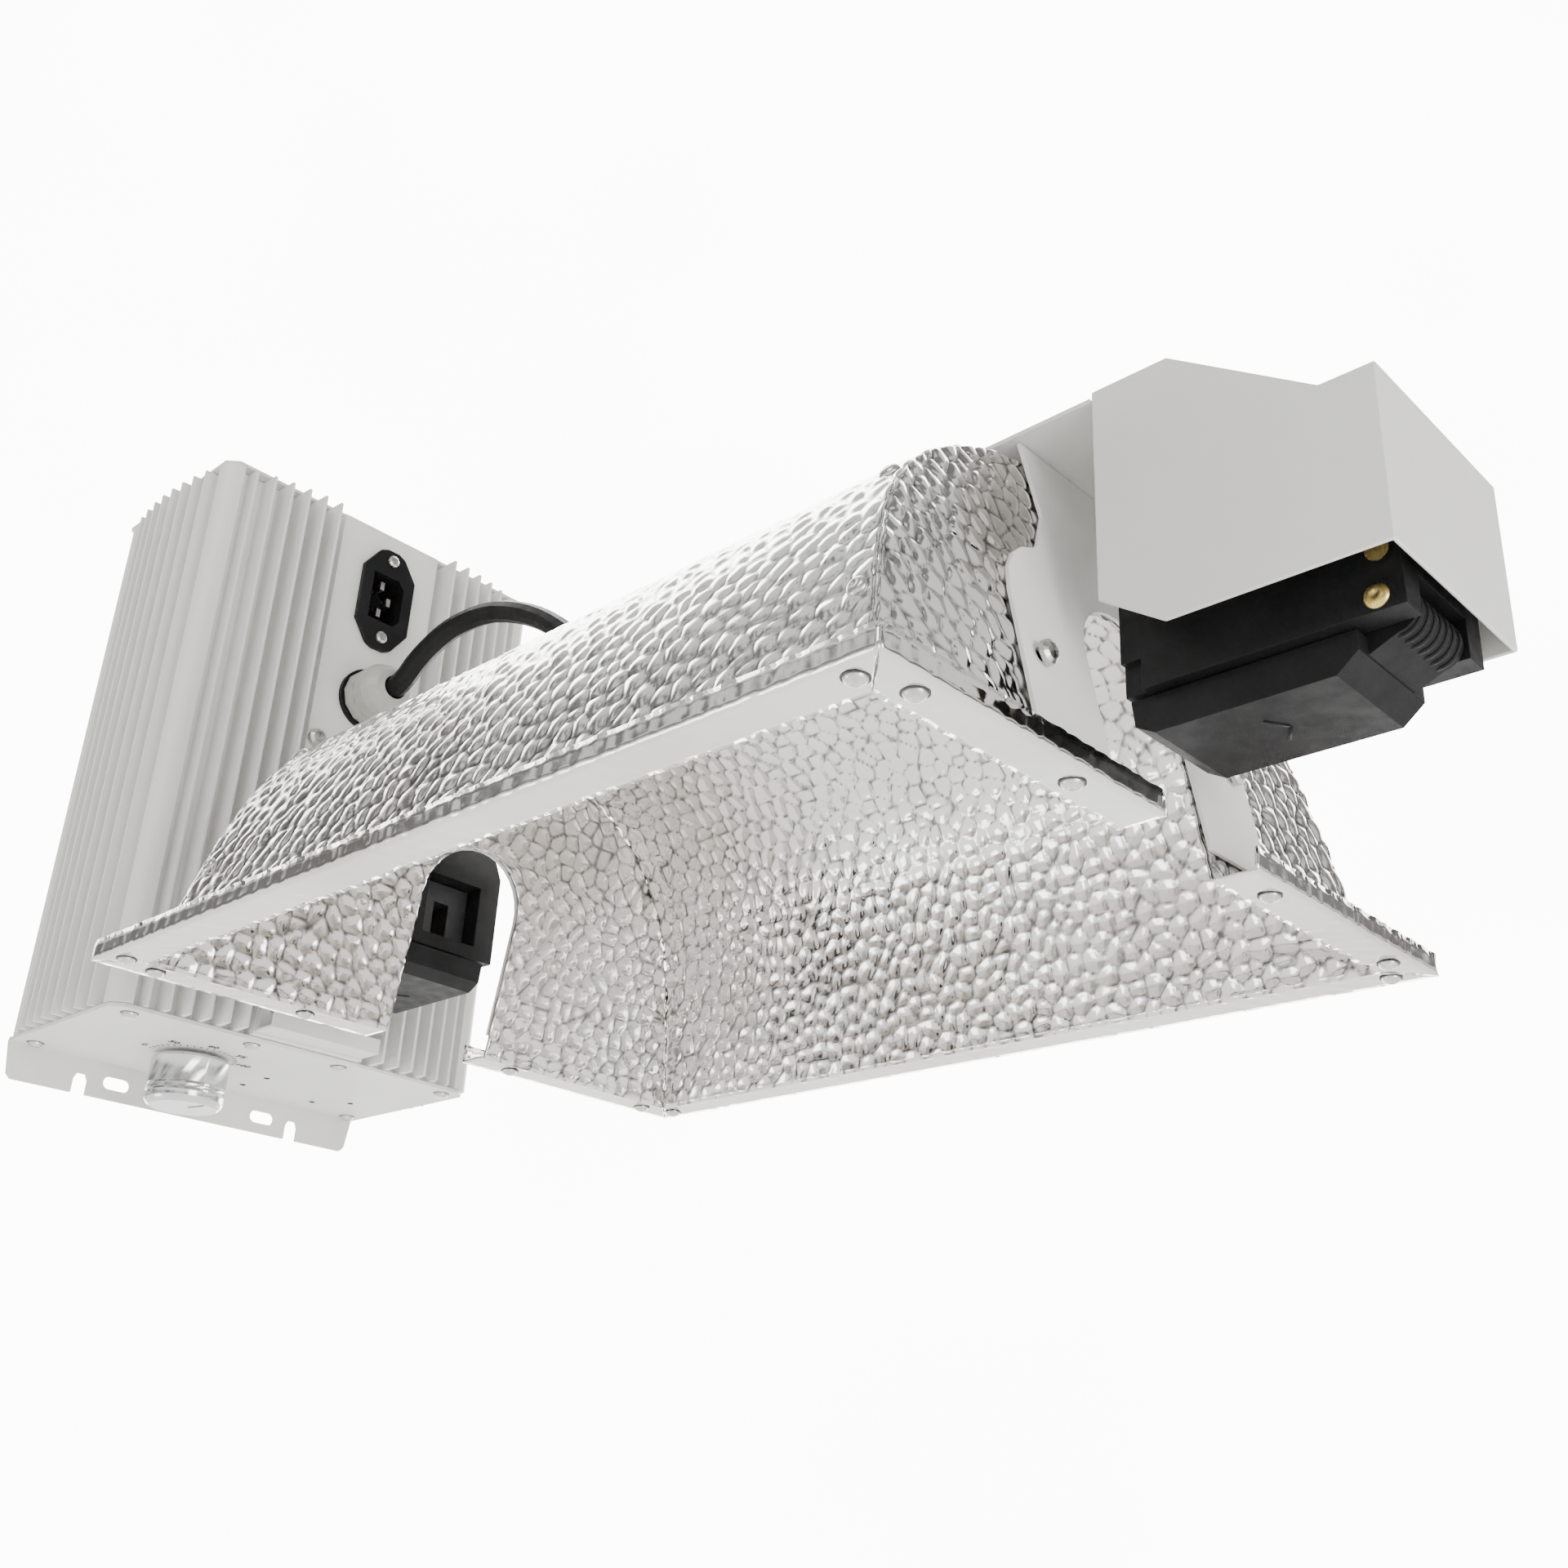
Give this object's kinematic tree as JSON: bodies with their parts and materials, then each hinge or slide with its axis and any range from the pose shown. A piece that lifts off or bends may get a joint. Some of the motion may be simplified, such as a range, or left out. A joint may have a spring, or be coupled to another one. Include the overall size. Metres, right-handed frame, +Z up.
{
  "type": "grow lamp",
  "caption": "Double-ended grow lamp fixture with a finned ballast, a hammered open reflector, hooded end sockets and a dimmer knob.",
  "frame": {"origin": "centre of the reflector opening, in the plane of its rim", "axes": "+X along the lamp axis from the ballast to the hooded socket, +Z up to the spine, -Y the side nearer the viewer"},
  "size_m": [0.5806, 0.258, 0.2713],
  "materials": {
    "hammered_aluminium": "polished, hammered",
    "white_steel": "white powder coat, satin",
    "white_extrusion": "white powder coat on extruded aluminium, satin",
    "black_plastic": "fine moulded texture",
    "ceramic": "black glazed insert",
    "brass": "plain",
    "knob_aluminium": "turned and brushed",
    "grey_plastic": "moulded nylon",
    "black_rubber": "satin sheath",
    "board": "solder mask",
    "copper_winding": "lacquered winding",
    "can": "sleeved can",
    "steel": "zinc plated"
  },
  "bodies": {
    "frame": {"ballast_body": "white_extrusion", "ballast_bottom_plate": "white_steel", "ballast_top_plate": "white_steel", "bracket_plate_ballast": "white_steel", "bracket_plate_hood": "white_steel", "bracket_screw_far_ballast": "steel", "bracket_screw_far_hood": "steel", "bracket_screw_near_ballast": "steel", "bracket_screw_near_hood": "steel", "cable_grommet": "black_rubber", "capacitor_1": "can", "capacitor_2": "can", "choke": "copper_winding", "control_board": "board", "dimmer_switch": "black_plastic", "foot_bracket": "white_steel", "foot_screw_1": "steel", "foot_screw_2": "steel", "gland_body": "grey_plastic", "gland_nut": "grey_plastic", "gland_seal": "black_rubber", "hood": "white_steel", "inlet_housing": "black_plastic", "inlet_pin_1": "steel", "inlet_pin_2": "steel", "inlet_pin_3": "steel", "inlet_screw_bottom": "steel", "inlet_screw_top": "steel", "lamp_cable": "black_rubber", "panel_screw_far": "steel", "panel_screw_near": "steel", "plate_screw_1": "steel", "plate_screw_2": "steel", "plate_screw_3": "steel", "plate_screw_4": "steel", "plate_screw_5": "steel", "plate_screw_6": "steel", "reflector_end_ballast": "hammered_aluminium", "reflector_end_hood": "hammered_aluminium", "reflector_side_far": "hammered_aluminium", "reflector_side_near": "hammered_aluminium", "socket_body_ballast": "black_plastic", "socket_body_hood": "black_plastic", "socket_ceramic_ballast": "ceramic", "socket_ceramic_hood": "ceramic", "socket_contact_ballast": "brass", "socket_contact_hood": "brass", "socket_hanger_ballast": "white_steel", "socket_hanger_hood": "white_steel", "socket_pin_ballast": "steel", "socket_pin_hood": "steel", "socket_rivet_ballast": "brass", "socket_rivet_hood": "brass", "spine_plate": "white_steel", "spine_screw_1": "steel", "spine_screw_2": "steel"},
    "knob": {"dimmer_knob": "knob_aluminium", "dimmer_shaft": "steel"},
    "cap_hood": {"socket_cap_hood": "black_plastic"},
    "cap_ballast": {"socket_cap_ballast": "black_plastic"}
  },
  "joints": [
    {"name": "dimmer_turn", "type": "hinge", "parent": "frame", "child": "knob", "pos_m": [-0.2958, -0.025, 0], "axis": [0, 0, 1], "range_deg": [0, 150]},
    {"name": "cap_hood_swing", "type": "hinge", "parent": "frame", "child": "cap_hood", "pos_m": [0.227, 0, 0.041], "axis": [0, -1, 0], "range_deg": [0, 50]},
    {"name": "cap_ballast_swing", "type": "hinge", "parent": "frame", "child": "cap_ballast", "pos_m": [-0.227, 0, 0.041], "axis": [0, 1, 0], "range_deg": [0, 50]}
  ]
}
